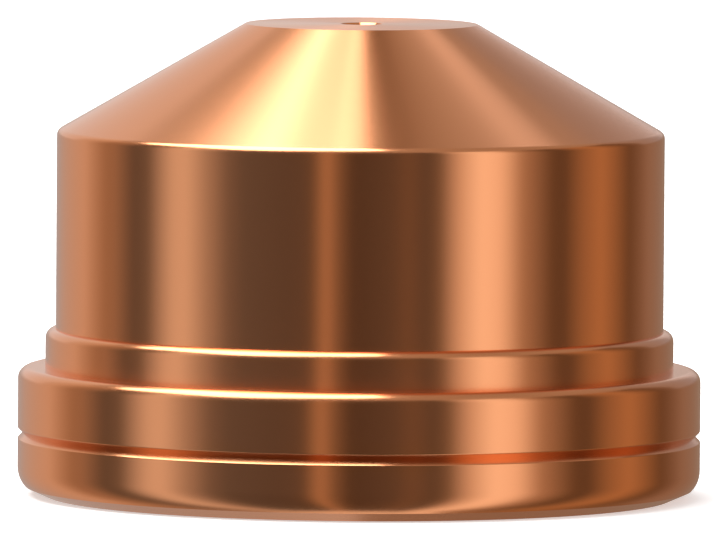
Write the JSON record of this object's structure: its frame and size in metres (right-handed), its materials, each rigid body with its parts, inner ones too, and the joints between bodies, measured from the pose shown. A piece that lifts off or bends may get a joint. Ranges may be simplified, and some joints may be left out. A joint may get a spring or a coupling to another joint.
{
  "type": "plasma torch nozzle",
  "caption": "One-piece turned copper nozzle with a flanged foot, a short step, a cylindrical body, a conical nose and a small arc orifice, open at the rear.",
  "frame": {"origin": "centre of the rear face, on the turning axis", "axes": "+Z along the turning axis, from the rear face towards the nose and its orifice; the part is the same all the way round"},
  "size_m": [0.03, 0.03, 0.0208],
  "materials": {
    "copper": "fine-turned bare copper, bright"
  },
  "bodies": {
    "root": {"nozzle_body": "copper"}
  },
  "joints": []
}
